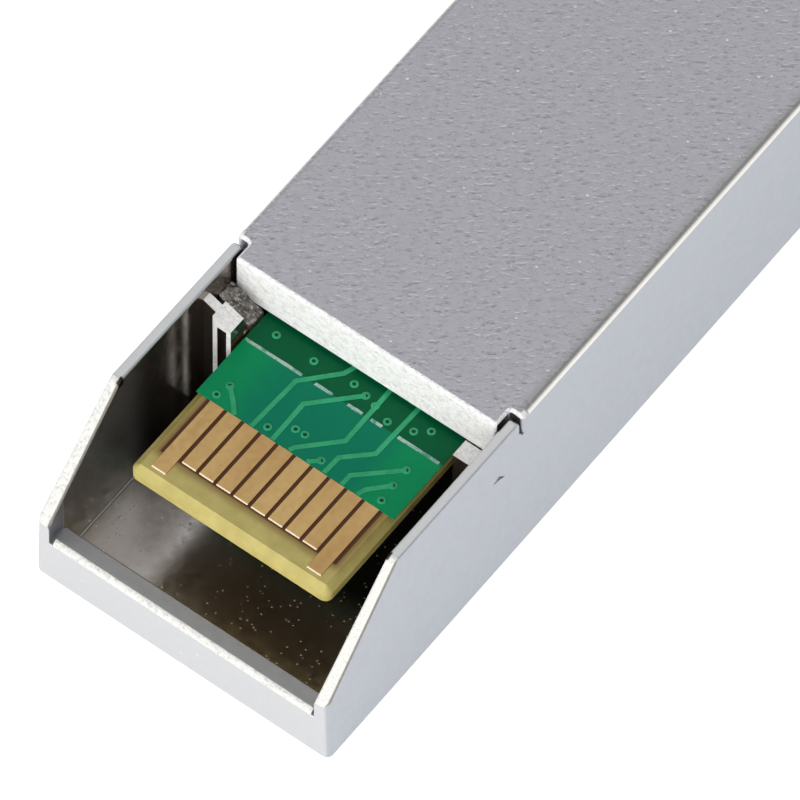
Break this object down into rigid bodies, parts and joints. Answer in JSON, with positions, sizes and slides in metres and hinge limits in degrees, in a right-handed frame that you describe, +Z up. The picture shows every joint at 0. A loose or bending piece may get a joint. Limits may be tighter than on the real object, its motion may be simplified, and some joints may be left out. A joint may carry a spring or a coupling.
{
  "type": "sfp plus transceiver module",
  "caption": "Pluggable optical transceiver lying on its label face: cast metal shell, board with gold edge contacts, duplex fibre nose, spring collar, latch lever and wire bail.",
  "frame": {"origin": "on the label face, midway across, at the place along the body that lies 24 mm in front of the rear wall", "axes": "+X to the right when looking from the rear along the body, +Y from the edge contacts to the optical nose, +Z up out of the underside"},
  "size_m": [0.014, 0.0581, 0.0099],
  "materials": {
    "zinc_cover": "plated die casting, fine satin",
    "zinc_base": "plated die casting, grained satin",
    "laminate": "bare glass-fibre laminate, yellow-olive",
    "solder_mask": "green solder mask, satin gloss",
    "contact_gold": "worn gold plating over copper",
    "chip_black": "moulded chip package",
    "heat_pad": "soft grey-blue heat pad",
    "capacitor": "ceramic chip body",
    "optic_steel": "turned stainless steel",
    "flex_amber": "amber flexible circuit",
    "spring_sheet": "rolled spring sheet",
    "latch_steel": "stamped stainless steel",
    "pin_steel": "ground pin",
    "spring_wire": "spring wire",
    "bail_wire": "bent wire, bright",
    "grip_black": "moulded sleeve"
  },
  "bodies": {
    "shell": {"top_cover": "zinc_cover", "base_housing": "zinc_base", "circuit_board": "laminate", "mask_lower": "solder_mask", "mask_upper": "solder_mask", "fingers_lower": "contact_gold", "fingers_upper": "contact_gold", "driver_chip": "chip_black", "heat_pad": "heat_pad", "controller_chip": "chip_black", "capacitors": "capacitor", "tx_barrel": "optic_steel", "tx_can": "optic_steel", "tx_flex": "flex_amber", "rx_barrel": "optic_steel", "rx_can": "optic_steel", "rx_flex": "flex_amber", "optics_clamp": "latch_steel", "emi_collar": "spring_sheet", "latch_pin": "pin_steel", "latch_spring": "spring_wire"},
    "lever": {"latch_lever": "latch_steel"},
    "bail": {"bail": "bail_wire", "bail_grip": "grip_black"}
  },
  "joints": [
    {"name": "bail_hinge", "type": "hinge", "parent": "shell", "child": "bail", "pos_m": [0, 0.0296, 0.00889], "axis": [1, 0, 0], "range_deg": [0, 90]},
    {"name": "lever_hinge", "type": "hinge", "parent": "shell", "child": "lever", "pos_m": [0, 0.0262, 0.009], "axis": [1, 0, 0], "range_deg": [0, 4.7]}
  ],
  "couplings": [
    {"joint": "lever_hinge", "follows": "bail_hinge", "ratio": 0.0511}
  ]
}
